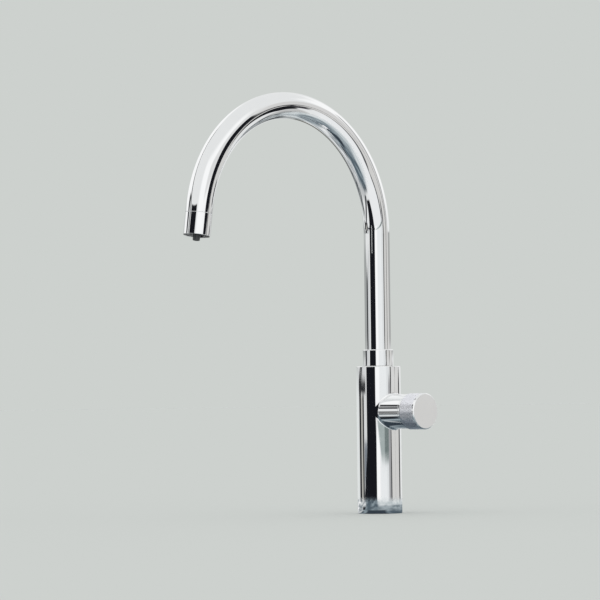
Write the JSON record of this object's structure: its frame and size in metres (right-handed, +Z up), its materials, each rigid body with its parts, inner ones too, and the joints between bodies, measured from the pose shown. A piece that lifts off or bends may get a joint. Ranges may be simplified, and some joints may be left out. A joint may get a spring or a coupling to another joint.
{
  "type": "filtered water kitchen tap",
  "caption": "Tall chrome water tap with a straight round body, a knurled knob on one side and a swivelling arched spout with a recessed outlet.",
  "frame": {"origin": "centre of the body's foot, level with the worktop", "axes": "+Z up along the body and the spout's swivel axis, +X along the knob's axis out of the body, -Y the way the spout points at rest"},
  "size_m": [0.0915, 0.2917, 0.5197],
  "materials": {
    "polished_chrome": "mirror-polished chrome plate on brass",
    "satin_chrome": "chrome plate over a fine knurl",
    "brass": "turned brass",
    "plated_brass": "nickel-plated turned brass",
    "rubber": "moulded black rubber",
    "fibre": "pressed fibre",
    "ceramic": "lapped alumina",
    "glide_plastic": "moulded acetal",
    "black_plastic": "moulded black plastic",
    "grey_plastic": "moulded dark grey plastic",
    "line_plastic": "extruded food-safe tube",
    "zinc_steel": "zinc-plated steel"
  },
  "bodies": {
    "body": {"body_shell": "polished_chrome", "valve_neck": "polished_chrome", "valve_block": "brass", "base_plate": "brass", "base_gasket": "rubber", "fixing_shank": "plated_brass", "inlet_tube": "plated_brass", "inlet_washer": "fibre", "headpart_housing": "plated_brass", "headpart_o_ring": "rubber", "lip_seal": "rubber", "fixed_ceramic_disc": "ceramic", "upper_glide_ring": "glide_plastic", "retaining_screw": "zinc_steel"},
    "clamp": {"rubber_washer": "rubber", "steel_washer": "zinc_steel", "fixing_nut": "brass"},
    "knob": {"knob_sleeve": "satin_chrome", "knob_cap": "polished_chrome", "knob_carrier": "black_plastic", "knob_screw": "zinc_steel", "valve_spindle": "brass", "moving_ceramic_disc": "ceramic", "spindle_o_rings": "rubber", "spindle_clip": "zinc_steel"},
    "spout": {"spout_tube": "polished_chrome", "spout_collar": "polished_chrome", "spout_spigot": "brass", "spigot_o_rings": "rubber", "lower_glide_ring": "glide_plastic", "inner_water_line": "line_plastic", "outlet_adapter": "brass", "outlet_housing": "polished_chrome", "outlet_seal": "rubber", "outlet_insert": "black_plastic", "outlet_nozzle": "grey_plastic", "flow_straightener": "black_plastic"}
  },
  "joints": [
    {"name": "spout_swivel", "type": "hinge", "parent": "body", "child": "spout", "pos_m": [0, 0, 0.15], "axis": [0, 0, 1], "range_deg": [-75, 75]},
    {"name": "knob_turn", "type": "hinge", "parent": "body", "child": "knob", "pos_m": [0.045, 0, 0.103], "axis": [1, 0, 0], "range_deg": [0, 90]},
    {"name": "clamp_travel", "type": "slide", "parent": "body", "child": "clamp", "axis": [0, 0, 1], "range_m": [-0.017, 0.035]}
  ]
}
